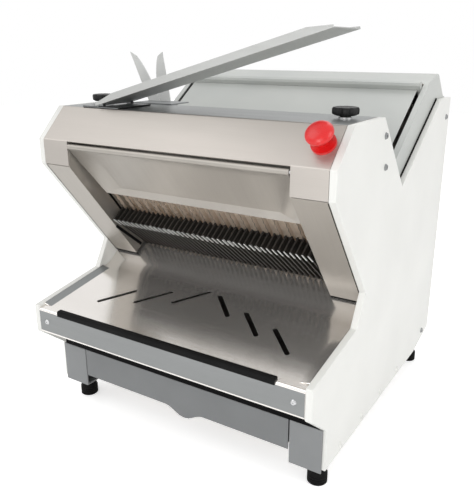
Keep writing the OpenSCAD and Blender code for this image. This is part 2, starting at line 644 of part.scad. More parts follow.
module rod_clamps() color("gray") in_chute() both_sides() difference() {
    union() {
        translate([rod_x - 11, rod_front_s, runner_h - 12]) cube([inner_x - rod_x + 11, clamp_l, 24]);
        translate([rod_x - 11, rod_rear_s - clamp_l, runner_h - 12])
            cube([inner_x - sheet_t - rod_x + 11, clamp_l, 24]);
    }
    push_rod_bore();
}

// Clamp knobs on the head
washer_t = 3;
knob_d = 42;
hub_h = 4;
knob_h0 = top_h + washer_t + gap;
module at_knob() translate([knob_x, yf(knob_set), 0]) children();
module knob() at_knob() {
    translate([0, 0, top_h - 16]) cylinder(d = stud_d, h = washer_t + 20);
    translate([0, 0, knob_h0]) cylinder(d = 18, h = hub_h + 1);
    translate([0, 0, knob_h0 + hub_h]) difference() {
        cylinder(d = knob_d, h = 11);
        for (i = [0:7]) rotate(45 * i) translate([knob_d / 2 + 3, 0, -1]) cylinder(d = 12, h = 13);
    }
}
module left_knob() color("black") mirror([1, 0, 0]) knob();
module right_knob() color("black") knob();
module knob_washers() color("silver") both_sides() at_knob() translate([0, 0, top_h]) difference() {
    cylinder(d = 22, h = washer_t);
    translate([0, 0, -1]) cylinder(d = stud_d + 1, h = washer_t + 2);
}
boss_h = 18;
module knob_bosses() color("gray") both_sides() difference() {
    translate([knob_x - 12, yf(knob_set) - 15, top_h - sheet_t - boss_h])
        cube([inner_x - knob_x + 12, 30, boss_h]);
    at_knob() translate([0, 0, top_h - sheet_t - boss_h - 1])
        cylinder(d = stud_d + 2 * run, h = boss_h + 2);
}

// Stop button
stem_r = 9;
sleeve_l = 6;
button_travel = 5;
module stop_button() color("red") at_button() {
    translate([0, 0, button_travel + gap - sleeve_l]) cylinder(r = stem_r, h = 15 + sleeve_l);
    translate([0, 0, 10]) cylinder(r1 = 11, r2 = 21, h = 10);
    translate([0, 0, 20]) cylinder(r = 21, h = 4);
    translate([0, 0, 24]) cylinder(r1 = 21, r2 = 18, h = 4);
    translate([0, 0, 28]) cylinder(r1 = 18, r2 = 10, h = 4);
}
module button_collar() color("dimgray") at_button() difference() {
    union() {
        cylinder(d = 38, h = 4);
        translate([0, 0, -sleeve_l]) cylinder(d = sleeve_d, h = sleeve_l);
    }
    translate([0, 0, -sleeve_l - 1]) cylinder(r = stem_r + run, h = sleeve_l + 7);
}
module contact_block() color("dimgray") at_button()
    translate([-5, -11, -sleeve_l - 12]) cube([14, 19, 12]);

// Bagging trough on its hinge bracket
trough_x = 93 - inner_x;
trough_set = 100;
hinge_d = 5;
barrel_d = 9;
trough_t = 1.5;
hinge_h = top_h + 9;
bracket_t = 3;
ear_w = 6;
barrel_inset = 20;
module in_trough() translate([trough_x, yf(trough_set), hinge_h]) rotate([0, -trough_tilt, 0]) children();
module trough_side() rotate([90, 0, 0]) linear_extrude(trough_t)
    polygon([[-5, -3], [trough_l, -3], [trough_l, 1], [trough_l - 40, trough_flange - 3],
             [40, trough_flange - 3], [-5, 1]]);
module bagging_trough() color("silver") in_trough() difference() {
    union() {
        translate([10, 0, -3]) cube([trough_l - 10, trough_w, trough_t]);
        translate([0, barrel_inset, -3]) cube([12, trough_w - 2 * barrel_inset, trough_t]);
        for (y = [trough_t, trough_w]) translate([0, y, 0]) trough_side();
        translate([0, barrel_inset, 0]) rotate([-90, 0, 0])
            cylinder(d = barrel_d, h = trough_w - 2 * barrel_inset);
    }
    translate([0, barrel_inset - 1, 0]) rotate([-90, 0, 0])
        cylinder(d = hinge_d + 2 * run, h = trough_w - 2 * barrel_inset + 2);
}
module trough_bracket() color("black") difference() {
    union() {
        translate([trough_x - 42, yf(trough_set + 6), top_h]) cube([87, trough_w - 12, bracket_t]);
        for (y = [barrel_inset - 4 - ear_w, trough_w - barrel_inset + 4])
            translate([trough_x - 6, yf(trough_set) + y, top_h]) cube([12, ear_w, 14]);
    }
    translate([trough_x, yf(trough_set), hinge_h]) rotate([-90, 0, 0])
        cylinder(d = hinge_d + 2 * run, h = trough_w);
}
module trough_pin() color("silver")
    translate([trough_x, yf(trough_set) + barrel_inset - 4 - ear_w, hinge_h]) rotate([-90, 0, 0])
    cylinder(d = hinge_d, h = trough_w - 2 * barrel_inset + 8 + 2 * ear_w);

// Bag fingers: two leaf-shaped plates on a strip behind the trough
finger_set = 222;
finger_t = 2;
leaf_w = 29;
leaf_h = 94;
module finger_strip() color("gray")
    translate([trough_x - 22, yf(finger_set), top_h]) cube([94, 56, finger_t]);
module leaf(base, tip, side) rotate([90, 0, 0]) linear_extrude(finger_t) polygon(concat([base, tip],
    [for (i = [11:-1:0]) base + (tip - base) * i / 12 + [side * leaf_w * pow(cos(7.5 * i), 0.4), 0]]));
module bag_fingers() color("lightgray") {
    translate([trough_x, yf(finger_set + 43), top_h + finger_t]) leaf([-17, 0], [-60, leaf_h], 1);
    translate([trough_x, yf(finger_set + 45), top_h + finger_t]) leaf([37, 0], [20, leaf_h], -1);
}

left_side_panel();
right_side_panel();
panel_bolts();
vee_seals();
base_plate();
left_front_leg();
right_front_leg();
left_rear_leg();
right_rear_leg();
rubber_feet();
foot_stems();
rear_cover();
power_inlet();
control_box();
tie_bars();
head_cover();
left_column();
right_column();
mouth_flap();
flap_pin();
slice_tray();
tray_screws();
edge_strip();
front_skirt();
crumb_deflector();
crumb_drawer();
drawer_runners();
front_frame();
rear_frame();
front_blades();
rear_blades();
guide_rods();
guide_blocks();
slice_comb();
crankshaft();
crank_pulley();
front_rod();
rear_rod();
bearing_stands();
motor_housing();
motor_cradle();
motor_pulley();
drive_belt();
loaf_chute();
loaf_pusher();
pusher_runners();
pusher_rods();
rod_clamps();
left_knob();
right_knob();
knob_washers();
knob_bosses();
stop_button();
button_collar();
contact_block();
bagging_trough();
trough_bracket();
trough_pin();
finger_strip();
bag_fingers();
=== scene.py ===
# %% [markdown]
# # A table-top bread slicer
# The engineering model gives the shapes and the joints. This lesson dresses it: it sets the camera and
# the light, gives every piece a finish, and rebuilds the pieces whose real form is rounder or finer than
# the solids. Lengths are in metres. Every piece keeps its place in its mesh, so its object can stay at
# the origin.

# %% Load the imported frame
import json
import math

import bmesh
import bpy
from mathutils import Matrix, Vector


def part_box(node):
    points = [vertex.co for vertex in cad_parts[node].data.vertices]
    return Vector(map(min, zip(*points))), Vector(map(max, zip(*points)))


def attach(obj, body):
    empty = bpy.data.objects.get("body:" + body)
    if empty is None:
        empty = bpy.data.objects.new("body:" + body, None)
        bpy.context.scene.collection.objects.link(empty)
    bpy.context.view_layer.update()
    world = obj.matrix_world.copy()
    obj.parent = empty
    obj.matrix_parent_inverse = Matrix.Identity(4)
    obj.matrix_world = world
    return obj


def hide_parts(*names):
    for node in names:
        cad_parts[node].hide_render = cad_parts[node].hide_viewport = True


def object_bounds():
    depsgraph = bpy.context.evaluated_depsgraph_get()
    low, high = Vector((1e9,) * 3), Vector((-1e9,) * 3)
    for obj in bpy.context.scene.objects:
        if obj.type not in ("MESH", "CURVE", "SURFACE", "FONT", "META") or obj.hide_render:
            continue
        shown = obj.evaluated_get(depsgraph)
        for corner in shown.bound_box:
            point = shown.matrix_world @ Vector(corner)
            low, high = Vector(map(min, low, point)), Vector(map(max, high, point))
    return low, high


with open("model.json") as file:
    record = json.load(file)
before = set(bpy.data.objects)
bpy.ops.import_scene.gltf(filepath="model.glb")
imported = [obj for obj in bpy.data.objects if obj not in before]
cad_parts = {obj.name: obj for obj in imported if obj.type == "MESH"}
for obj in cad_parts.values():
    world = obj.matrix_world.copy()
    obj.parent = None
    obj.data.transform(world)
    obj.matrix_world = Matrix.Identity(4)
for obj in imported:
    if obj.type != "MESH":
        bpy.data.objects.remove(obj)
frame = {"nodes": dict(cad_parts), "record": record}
cad_low, cad_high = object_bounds()
nodes = frame["nodes"]
groups = frame["record"]["behaviour"]["bodies"]
body_of = {node: body for body, group in groups.items() for node in group}
slot_of = {row["node"]: row["material_slot"] for row in frame["record"]["subparts"]}
scene = bpy.context.scene
print("nodes in the frame:", len(nodes))

# %% [markdown]
# ## Camera
# A camera could be nudged by eye until the picture fits. Here the standpoint was worked out from straight
# edges of the machine, which fixes it far better: a little above it, to its right, and close enough that
# the near corner looks larger. A lens of about 46 mm on a 36 mm wide sensor gives the same view.

# %% Camera
camera_data = bpy.data.cameras.new("camera")
camera_data.sensor_fit = "HORIZONTAL"
camera_data.sensor_width = 36.0
camera_data.lens = 46.39
camera = bpy.data.objects.new("camera", camera_data)
camera.location = (0.61115, -1.03882, 0.70553)
camera.rotation_euler = (math.radians(72.04), 0.0, math.radians(31.91))
scene.collection.objects.link(camera)
scene.camera = camera
scene.view_settings.view_transform = "Standard"
print("camera at", [round(v, 3) for v in camera.location])

# %% [markdown]
# ## Studio
# A product picture has a white surround and broad soft light. One bright world could give both, but pale
# paint would lose its shading in it. So the world is white only where the camera or a reflection looks at
# it, and a softer grey where it lights the machine.

# %% World
def seen_directly(tree):
    """A value that is 1 for camera, glossy and transmission rays and 0 for light."""
    path = tree.nodes.new("ShaderNodeLightPath")
    total = path.outputs["Is Camera Ray"]
    for ray in ("Is Glossy Ray", "Is Transmission Ray"):
        larger = tree.nodes.new("ShaderNodeMath")
        larger.operation = "MAXIMUM"
        tree.links.new(total, larger.inputs[0])
        tree.links.new(path.outputs[ray], larger.inputs[1])
        total = larger.outputs[0]
    return total


lighting_level = 0.62
seen_level = 1.0
world = bpy.data.worlds.new("studio")
world.use_nodes = True
scene.world = world
backdrop = world.node_tree.nodes["Background"]
backdrop.inputs["Color"].default_value = (1.0, 1.0, 1.0, 1.0)
strength = world.node_tree.nodes.new("ShaderNodeMapRange")
strength.inputs["To Min"].default_value = lighting_level
strength.inputs["To Max"].default_value = seen_level
world.node_tree.links.new(seen_directly(world.node_tree), strength.inputs["Value"])
world.node_tree.links.new(strength.outputs[0], backdrop.inputs["Strength"])
print("world lights at", lighting_level, "and is seen at", seen_level)

# %% [markdown]
# The floor is a wide sheet of paper that takes the shadow. More light would make it white, but the
# machine would get that light too. So it glows a little where it is seen directly, and still keeps the
# shadow.

# %% Floor
reach = 6.0
floor_corners = [(-reach, -reach, 0.0), (reach, -reach, 0.0), (reach, reach, 0.0), (-reach, reach, 0.0)]
floor_mesh = bpy.data.meshes.new("floor")
floor_mesh.from_pydata(floor_corners, [], [(0, 1, 2, 3)])
floor = bpy.data.objects.new("floor", floor_mesh)
scene.collection.objects.link(floor)
floor_paint = bpy.data.materials.new("floor paper")
floor_paint.use_nodes = True
paper = floor_paint.node_tree.nodes["Principled BSDF"]
paper.inputs["Base Color"].default_value = (0.93, 0.93, 0.93, 1.0)
paper.inputs["Roughness"].default_value = 0.9
paper.inputs["Emission Color"].default_value = (1.0, 1.0, 1.0, 1.0)
floor_glow = 0.5
glow = floor_paint.node_tree.nodes.new("ShaderNodeMath")
glow.operation = "MULTIPLY"
glow.inputs[1].default_value = floor_glow
floor_paint.node_tree.links.new(seen_directly(floor_paint.node_tree), glow.inputs[0])
floor_paint.node_tree.links.new(glow.outputs[0], paper.inputs["Emission Strength"])
floor_mesh.materials.append(floor_paint)
print("floor is", 2.0 * reach, "m wide")

# %% [markdown]
# A studio uses soft boxes. A sun or a spot would be simpler, but only a lamp with a surface gives the
# broad highlights that ground steel shows. Two large lamps shape the machine, and two small ones reach
# into the loading bay and the mouth. White paint stays below pure white.

# %% Lamps
def soft_lamp(name, place, target, size, power):
    """A square lamp that looks at a point; its size is in metres and its power in watts."""
    data = bpy.data.lights.new(name, "AREA")
    data.size = size
    data.energy = power
    lamp = bpy.data.objects.new(name, data)
    lamp.location = place
    lamp.rotation_mode = "QUATERNION"
    lamp.rotation_quaternion = (Vector(target) - Vector(place)).to_track_quat("-Z", "Y")
    scene.collection.objects.link(lamp)


middle = (0.0, 0.0, 0.35)
soft_lamp("key", (-1.3, -1.5, 2.1), middle, size=2.0, power=16.0)
soft_lamp("side", (2.2, -0.3, 1.5), middle, size=1.4, power=15.0)
soft_lamp("bay", (0.1, 0.6, 1.6), (0.0, -0.1, 0.43), size=0.8, power=3.0)
soft_lamp("mouth", (0.4, -1.7, 0.62), (0.0, -0.12, 0.41), size=0.8, power=7.0)

# %% [markdown]
# ## Finishes
# Paint, sheet and mouldings are never one flat colour. Pictures of real surfaces could be laid on them,
# but noise needs no files and has no seams. It reads Object coordinates, so the pattern stays on the
# piece when it moves.

# %% Colours and noise
def srgb(red, green, blue):
    """Linear colour from the values that a picture editor shows."""
    def linear(value):
        part = value / 255.0
        return part / 12.92 if part <= 0.04045 else ((part + 0.055) / 1.055) ** 2.4
    return (linear(red), linear(green), linear(blue), 1.0)


def noise_field(tree, scale, detail, turn):
    """Noise whose grain is scale (per metre) on each axis, turned about X first."""
    coordinates = tree.nodes.new("ShaderNodeTexCoord")
    turned = tree.nodes.new("ShaderNodeMapping")
    turned.inputs["Rotation"].default_value = (turn, 0.0, 0.0)
    stretched = tree.nodes.new("ShaderNodeMapping")
    stretched.inputs["Scale"].default_value = scale
    field = tree.nodes.new("ShaderNodeTexNoise")
    field.inputs["Scale"].default_value = 1.0
    field.inputs["Detail"].default_value = detail
    tree.links.new(coordinates.outputs["Object"], turned.inputs["Vector"])
    tree.links.new(turned.outputs["Vector"], stretched.inputs["Vector"])
    tree.links.new(stretched.outputs["Vector"], field.inputs["Vector"])
    return field.outputs["Fac"]


print("middle grey in linear light:", round(srgb(128, 128, 128)[0], 3))

# %% [markdown]
# Each finish starts from the same three ingredients: a slow noise that shifts the colour, a finer one
# that moves the gloss, and the same fine one as a bump. What sets one finish apart is the scale of the
# noise on each axis, so one function can make them all.

# %% One finish
def ranged(tree, value, low, high):
    """Maps the middle of a noise field to low..high."""
    node = tree.nodes.new("ShaderNodeMapRange")
    node.inputs["From Min"].default_value = 0.3
    node.inputs["From Max"].default_value = 0.7
    node.inputs["To Min"].default_value = low
    node.inputs["To Max"].default_value = high
    tree.links.new(value, node.inputs["Value"])
    return node.outputs["Result"]


def blended(tree, factor, first, second):
    """Two colours mixed by a factor."""
    node = tree.nodes.new("ShaderNodeMix")
    node.data_type = "RGBA"
    node.inputs["A"].default_value = first
    node.inputs["B"].default_value = second
    tree.links.new(factor, node.inputs["Factor"])
    return node.outputs["Result"]


def finish(name, first, second, cloud, grain, rough, bump, metal=0.0, turn=0.0, coat=0.0, shine=0.5):
    """A material from two close colours, two noise scales, a roughness range and a bump height in metres."""
    material = bpy.data.materials.new(name)
    material.use_nodes = True
    tree = material.node_tree
    shader = tree.nodes["Principled BSDF"]
    shader.inputs["Metallic"].default_value = metal
    shader.inputs["Coat Weight"].default_value = coat
    shader.inputs["Specular IOR Level"].default_value = shine
    tint = ranged(tree, noise_field(tree, cloud, 4.0, turn), 0.0, 1.0)
    tree.links.new(blended(tree, tint, first, second), shader.inputs["Base Color"])
    fine = noise_field(tree, grain, 2.0, turn)
    tree.links.new(ranged(tree, fine, *rough), shader.inputs["Roughness"])
    raised = tree.nodes.new("ShaderNodeBump")
    raised.inputs["Distance"].default_value = bump
    raised.inputs["Strength"].default_value = 0.6
    tree.links.new(fine, raised.inputs["Height"])
    tree.links.new(raised.outputs["Normal"], shader.inputs["Normal"])
    print("finish:", name)
    return material


def even(scale):
    """The same grain on all three axes."""
    return (scale, scale, scale)


# %% [markdown]
# The panels are powder coated, the legs and the drawer are painted blue-grey, and the chute is enamelled.
# A smooth gloss would look like plastic. A fine, even bump gives the orange peel that a sprayed coat has.

# %% Paint and enamel
finishes = {}
finishes["white_paint"] = finish(
    "white powder coat", srgb(233, 233, 229), srgb(227, 227, 223), cloud=even(7.0), grain=even(1100.0),
    rough=(0.34, 0.46), bump=0.00006)
finishes["bed_grey"] = finish(
    "pale grey enamel", srgb(192, 194, 190), srgb(180, 183, 180), cloud=even(5.0), grain=even(900.0),
    rough=(0.28, 0.4), bump=0.00004)
finishes["grey_paint"] = finish(
    "blue-grey paint", srgb(135, 137, 138), srgb(126, 128, 129), cloud=even(8.0), grain=even(1000.0),
    rough=(0.42, 0.55), bump=0.00006)
# Near-black paint for the front skirt under the tray's lip: a painted shadow gap.
finishes["dark_paint"] = finish(
    "near-black paint, also a painted shadow gap", srgb(12, 12, 13), srgb(7, 7, 8), cloud=even(9.0), grain=even(1000.0),
    rough=(0.5, 0.65), bump=0.00006, shine=0.05)
# The drawer front is a little darker than the legs.
drawer_paint = finish(
    "blue-grey paint, darker", srgb(121, 123, 124), srgb(113, 115, 116), cloud=even(8.0), grain=even(1000.0),
    rough=(0.42, 0.55), bump=0.00006)

# %% [markdown]
# Knobs, housings, seals and feet are moulded, and the stop button is glossier than the rest. Black is
# never fully black here, because a little grey keeps the form readable in the shade. The apron behind the
# blades is painted warm and nearly white, as painted light in the shade of the head, with a faint level
# grain.

# %% Mouldings, rubber and the painted-light apron
finishes["black_plastic"] = finish(
    "black moulding", srgb(24, 24, 25), srgb(16, 16, 17), cloud=even(15.0), grain=even(1600.0),
    rough=(0.4, 0.55), bump=0.00005, shine=0.25)
finishes["pale_plastic"] = finish(
    "pale moulding", srgb(205, 206, 204), srgb(194, 195, 193), cloud=even(14.0), grain=even(900.0),
    rough=(0.35, 0.5), bump=0.00004)
finishes["red_plastic"] = finish(
    "red moulding", srgb(222, 30, 30), srgb(206, 22, 24), cloud=even(30.0), grain=even(700.0),
    rough=(0.26, 0.36), bump=0.00003, coat=0.1)
finishes["black_rubber"] = finish(
    "black rubber", srgb(18, 18, 18), srgb(10, 10, 10), cloud=even(20.0), grain=even(1300.0),
    rough=(0.6, 0.8), bump=0.0001, shine=0.12)
# The comb is dark brown-grey: painted shade between its close fins.
comb_painted_shade = finish(
    "dark comb moulding, painted shade", srgb(58, 54, 50), srgb(46, 43, 40), cloud=even(15.0), grain=even(1600.0),
    rough=(0.45, 0.6), bump=0.00005, shine=0.2)
# Painted light: the apron in the head's shade is warm and nearly white.
apron_painted_light = finish(
    "warm pale apron, painted light", srgb(248, 232, 214), srgb(240, 222, 202), cloud=(2.0, 30.0, 30.0), grain=even(700.0),
    rough=(0.5, 0.65), bump=0.00005)

# %% [markdown]
# Sheet is ground along its length, so its grain is drawn out along X. The columns and the flap are ground
# down their slope, so their grain is turned with them. A true mirror metal would show the white studio
# everywhere, and ground sheet doesn't, so most of these finishes are a little less than fully metallic.
# The castings inside have a coarse skin.

# %% Metals
mouth_tilt = math.radians(38.471)
along_x = (5.0, 1500.0, 1500.0)
along_z = (1500.0, 1500.0, 5.0)
sheet = {"cloud": (2.0, 9.0, 9.0), "grain": along_x, "rough": (0.3, 0.46), "bump": 0.00003, "metal": 0.75}
finishes["stainless"] = finish("stainless sheet", srgb(184, 178, 172), srgb(172, 167, 161), **sheet)
dull_and_shaded_steel = finish("dull stainless, also painted shade", srgb(140, 142, 142), srgb(129, 131, 131), **sheet)
cool_steel = finish("cool stainless", srgb(192, 193, 191), srgb(180, 181, 179), **sheet)
slope_steel = finish(
    "stainless, ground down the slope", srgb(172, 167, 160), srgb(159, 154, 147), cloud=(9.0, 9.0, 2.0),
    grain=along_z, rough=(0.3, 0.48), bump=0.00003, metal=0.6, turn=-mouth_tilt)
glossy_tray_steel = finish(
    "stainless, pale and glossy", srgb(242, 238, 234), srgb(226, 222, 217), cloud=(2.0, 6.0, 6.0), grain=along_x,
    rough=(0.12, 0.25), bump=0.00002, metal=0.85)
blade_steel = finish(
    "blade steel", srgb(232, 216, 200), srgb(218, 202, 186), cloud=even(12.0), grain=along_z,
    rough=(0.35, 0.5), bump=0.00002, metal=0.3)
blade_edge_shade = finish(
    "dark blade edge, painted shade", srgb(62, 58, 55), srgb(50, 47, 45), cloud=even(12.0), grain=along_z,
    rough=(0.4, 0.55), bump=0.00002, metal=0.5)
finishes["bright_steel"] = finish(
    "ground steel", srgb(206, 206, 206), srgb(186, 187, 188), cloud=even(12.0), grain=along_x,
    rough=(0.2, 0.36), bump=0.00002, metal=1.0)
finishes["cast_grey"] = finish(
    "grey casting", srgb(88, 89, 90), srgb(72, 73, 74), cloud=even(25.0), grain=even(500.0),
    rough=(0.55, 0.75), bump=0.0002, metal=0.4)
finishes["motor_alloy"] = finish(
    "cast alloy", srgb(150, 152, 154), srgb(136, 138, 140), cloud=even(20.0), grain=even(600.0),
    rough=(0.5, 0.66), bump=0.00015, metal=0.6)

# %% [markdown]
# The record gives every solid a slot, and the slot gives it a finish. A few pieces differ from their
# slot: a tray of pale, glossy steel, a comb painted dark as shade between its fins, a drawer front a
# little darker than the legs.

# %% Finishes on the solids
own_finish = {"left_column": slope_steel, "right_column": slope_steel, "mouth_flap": slope_steel,
              "slice_tray": glossy_tray_steel, "bagging_trough": cool_steel, "slice_comb": comb_painted_shade,
              "finger_strip": finishes["grey_paint"], "crumb_drawer": drawer_paint}
for name, piece in nodes.items():
    piece.data.materials.clear()
    piece.data.materials.append(own_finish.get(name, finishes[slot_of[name]]))
print("solids with a finish:", len(nodes), "of them with their own:", len(own_finish))

# %% [markdown]
# ## Folded and pressed pieces
# Real sheet and plate have no knife edges: light catches a thin line along each one. A bevel can make all
# shading round, which looks like soap on a large plate. So the shading is kept crisp over real edges, and
# each corner takes its direction mostly from its largest face.

# %% Shading and placing
def show(piece, body, slot, *replaced):
    """Puts a finished piece on its body and hides the nodes it stands for."""
    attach(piece, body)
    if replaced:
        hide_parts(*replaced)
    return piece


def shade(mesh, angle=35.0):
    """Smooth shading that stays crisp over real edges."""
    for polygon in mesh.polygons:
        polygon.use_smooth = True
    mesh.set_sharp_from_angle(angle=math.radians(angle))


def applied(piece, modifier):
    """Keeps what a modifier makes of a piece as its plain mesh, and takes the modifier off."""
    made = bpy.data.meshes.new_from_object(piece.evaluated_get(bpy.context.evaluated_depsgraph_get()))
    piece.modifiers.remove(modifier)
    piece.data = made
    return made


def flat_shaded(piece):
    """Weights the smooth shading by area, so that large faces stay flat beside their rounded edges."""
    modifier = piece.modifiers.new("weights", "WEIGHTED_NORMAL")
    modifier.keep_sharp = True
    applied(piece, modifier)


# %% [markdown]
# A bevel modifier could round every edge of a node, but the solids are loose triangles, and round holes
# have edges too short for it. So a copy is merged, its flat triangles are joined into faces, and only
# those true edges are bevelled whose corners leave room. The copy then stands for the node.

# %% Broken edges
def is_roomy(corner, length, wedge=20.0):
    """Whether a corner's edges are all longer than a length and no face is a thin wedge there."""
    long_edges = all(edge.calc_length() > length for edge in corner.link_edges)
    return long_edges and all(loop.calc_angle() > math.radians(wedge) for loop in corner.link_loops)


def broken_edges(node, width, room=2.5):
    """A copy of a node with its true edges bevelled where the corners leave room times the width."""
    same_place = 0.00002
    same_plane = math.radians(0.5)
    true_angle = math.radians(28.0)
    mesh = nodes[node].data.copy()
    build = bmesh.new()
    build.from_mesh(mesh)
    bmesh.ops.remove_doubles(build, verts=build.verts, dist=same_place)
    bmesh.ops.dissolve_limit(build, angle_limit=same_plane, verts=build.verts, edges=build.edges)
    true_edges = [e for e in build.edges if e.is_manifold and e.calc_face_angle() > true_angle]
    roomy_edges = [e for e in true_edges if all(is_roomy(corner, room * width) for corner in e.verts)]
    bmesh.ops.bevel(build, geom=roomy_edges, offset=width, segments=2, profile=0.5, affect="EDGES",
                    clamp_overlap=True)
    build.to_mesh(mesh)
    build.free()
    shade(mesh)
    piece = bpy.data.objects.new(node + "_finished", mesh)
    scene.collection.objects.link(piece)
    flat_shaded(piece)
    return show(piece, body_of[node], slot_of[node], node)


# %% [markdown]
# The width is the edge break that the real piece has: most on the thick painted panels, about a
# millimetre on plate and rubber, and least on bare sheet.

# %% Edge widths
edge_breaks = {
    "left_side_panel": 0.0015, "right_side_panel": 0.0015, "head_cover": 0.0005, "slice_tray": 0.0005,
    "loaf_chute": 0.0006, "crumb_drawer": 0.0005, "front_skirt": 0.0005, "bagging_trough": 0.0004,
    "left_front_leg": 0.001, "right_front_leg": 0.001, "left_rear_leg": 0.001, "right_rear_leg": 0.001,
    "trough_bracket": 0.001, "bag_fingers": 0.0005, "rear_cover": 0.0005, "left_column": 0.0005,
    "right_column": 0.0005, "mouth_flap": 0.0004, "edge_strip": 0.0008, "power_inlet": 0.0008,
}
finished = {node: broken_edges(node, width) for node, width in edge_breaks.items()}
print("pieces with broken edges:", len(finished))

# %% [markdown]
# The tray's front lip and its left cove take darker steel than its middle: on the lip a painted darker
# reflection, in the cove painted shade. The flat top of the head takes it too, as painted shade against the
# white studio that it would mirror. The faces of the trough's bracket that look up or forward also take
# this dull steel. The apron under the chute is painted warm and nearly white, as painted light in the
# head's shade. A piece could be split for that. It is simpler to let the faces that look one way take a
# second finish.

# %% Second finishes
def second_finish(piece, material, way, likeness=0.99):
    """Gives another finish to the faces that look along a direction."""
    piece.data.materials.append(material)
    faces = [p for p in piece.data.polygons if p.normal.dot(Vector(way).normalized()) > likeness]
    for polygon in faces:
        polygon.material_index = len(piece.data.materials) - 1
    print(piece.name, "faces with a second finish:", len(faces))


upwards = (0.0, 0.0, 1.0)
forwards = (0.0, -1.0, 0.0)
cove_way = (0.22, -0.16, 0.96)
apron_way = (0.0, -math.cos(mouth_tilt), -math.sin(mouth_tilt))
# Painted reflection: the tray's front lip is darker steel than its middle.
second_finish(finished["slice_tray"], dull_and_shaded_steel, forwards)
# Painted shade: the tray's left cove is darker steel.
second_finish(finished["slice_tray"], dull_and_shaded_steel, cove_way)
# Painted shade: the flat top of the head is darker steel.
second_finish(finished["head_cover"], dull_and_shaded_steel, upwards)
for way in (upwards, forwards):
    second_finish(finished["trough_bracket"], dull_and_shaded_steel, way)
# Painted light: the apron faces take a warm, nearly white finish in the shade of the head.
second_finish(finished["loaf_chute"], apron_painted_light, apron_way)

# %% [markdown]
# ## What repeats
# Blades, fin tips, seals and louvre slats are the same thing to a computer: a strip, copied in even
# steps. They could be made one by one in a loop. A Geometry Nodes tree keeps the rule in one place, with
# named inputs, so one tree makes them all, and a second one puts a bolt head on every point of a mesh.

# %% Helpers for node trees
def new_tree(name, sockets):
    """An empty tree with named inputs and one geometry output."""
    tree = bpy.data.node_groups.new(name, "GeometryNodeTree")
    for label, kind in sockets:
        tree.interface.new_socket(label, in_out="INPUT", socket_type="NodeSocket" + kind)
    tree.interface.new_socket("Geometry", in_out="OUTPUT", socket_type="NodeSocketGeometry")
    return tree, tree.nodes.new("NodeGroupInput").outputs, tree.nodes.new("NodeGroupOutput").inputs


def put(tree, kind, links, **settings):
    """Adds a node, sets its properties and fills its sockets from links or constants."""
    node = tree.nodes.new(kind)
    for key, value in settings.items():
        setattr(node, key, value)
    for socket, value in links.items():
        if isinstance(value, bpy.types.NodeSocket):
            tree.links.new(value, node.inputs[socket])
        else:
            node.inputs[socket].default_value = value
    return node.outputs


def placed_copies(tree, points, instance, rotation, material, result):
    """Ends a tree: copies on points, made real, with one finish."""
    copies = put(tree, "GeometryNodeInstanceOnPoints",
                 {"Points": points, "Instance": instance, "Rotation": rotation})
    solid = put(tree, "GeometryNodeRealizeInstances", {"Geometry": copies[0]})
    painted = put(tree, "GeometryNodeSetMaterial", {"Geometry": solid[0], "Material": material})
    tree.links.new(painted[0], result[0])
    print("tree:", tree.name, "nodes:", len(tree.nodes))


# %% [markdown]
# A strip is a box with extra cuts along its length. Every second cut on its front edge can be pushed in,
# which turns a plain bar into a toothed bread blade. A cosine that changes sign from cut to cut does the
# pushing.

# %% The tree for rows of strips
strips, given, result = new_tree("row of strips", [
    ("Count", "Int"), ("Start", "Vector"), ("Step", "Vector"), ("Size", "Vector"), ("Cuts", "Int"),
    ("Tooth", "Float"), ("Turn", "Vector"), ("Material", "Material")])
spots = put(strips, "GeometryNodeMeshLine",
            {"Count": given["Count"], "Start Location": given["Start"], "Offset": given["Step"]})
bar = put(strips, "GeometryNodeMeshCube", {"Size": given["Size"], "Vertices Z": given["Cuts"]})
place = put(strips, "ShaderNodeSeparateXYZ", {0: put(strips, "GeometryNodeInputPosition", {})[0]})
length = put(strips, "ShaderNodeSeparateXYZ", {0: given["Size"]})["Z"]
share = put(strips, "ShaderNodeMath", {0: place["Z"], 1: length}, operation="DIVIDE")[0]
spans = put(strips, "ShaderNodeMath", {0: given["Cuts"], 1: 1.0}, operation="SUBTRACT")[0]
cut_index = put(strips, "ShaderNodeMath", {0: share, 1: spans}, operation="MULTIPLY")[0]
half_turns = put(strips, "ShaderNodeMath", {0: cut_index, 1: math.pi}, operation="MULTIPLY")[0]
wave = put(strips, "ShaderNodeMath", {0: half_turns}, operation="COSINE")[0]
push = put(strips, "ShaderNodeMath", {0: wave, 1: given["Tooth"]}, operation="MULTIPLY")[0]
offset = put(strips, "ShaderNodeCombineXYZ", {"Y": push})[0]
front = put(strips, "FunctionNodeCompare", {"A": place["Y"], "B": 0.0}, operation="LESS_THAN")[0]
toothed = put(strips, "GeometryNodeSetPosition",
              {"Geometry": bar["Mesh"], "Selection": front, "Offset": offset})[0]
turn = put(strips, "FunctionNodeEulerToRotation", {0: given["Turn"]})[0]
placed_copies(strips, spots["Mesh"], toothed, turn, given["Material"], result)

# %% [markdown]
# A tree is only a recipe. The export drops live copies, so the result is kept as a plain mesh and the
# tree is taken off again. Most rows are of plain bars, so a short function fills in the inputs they
# share.

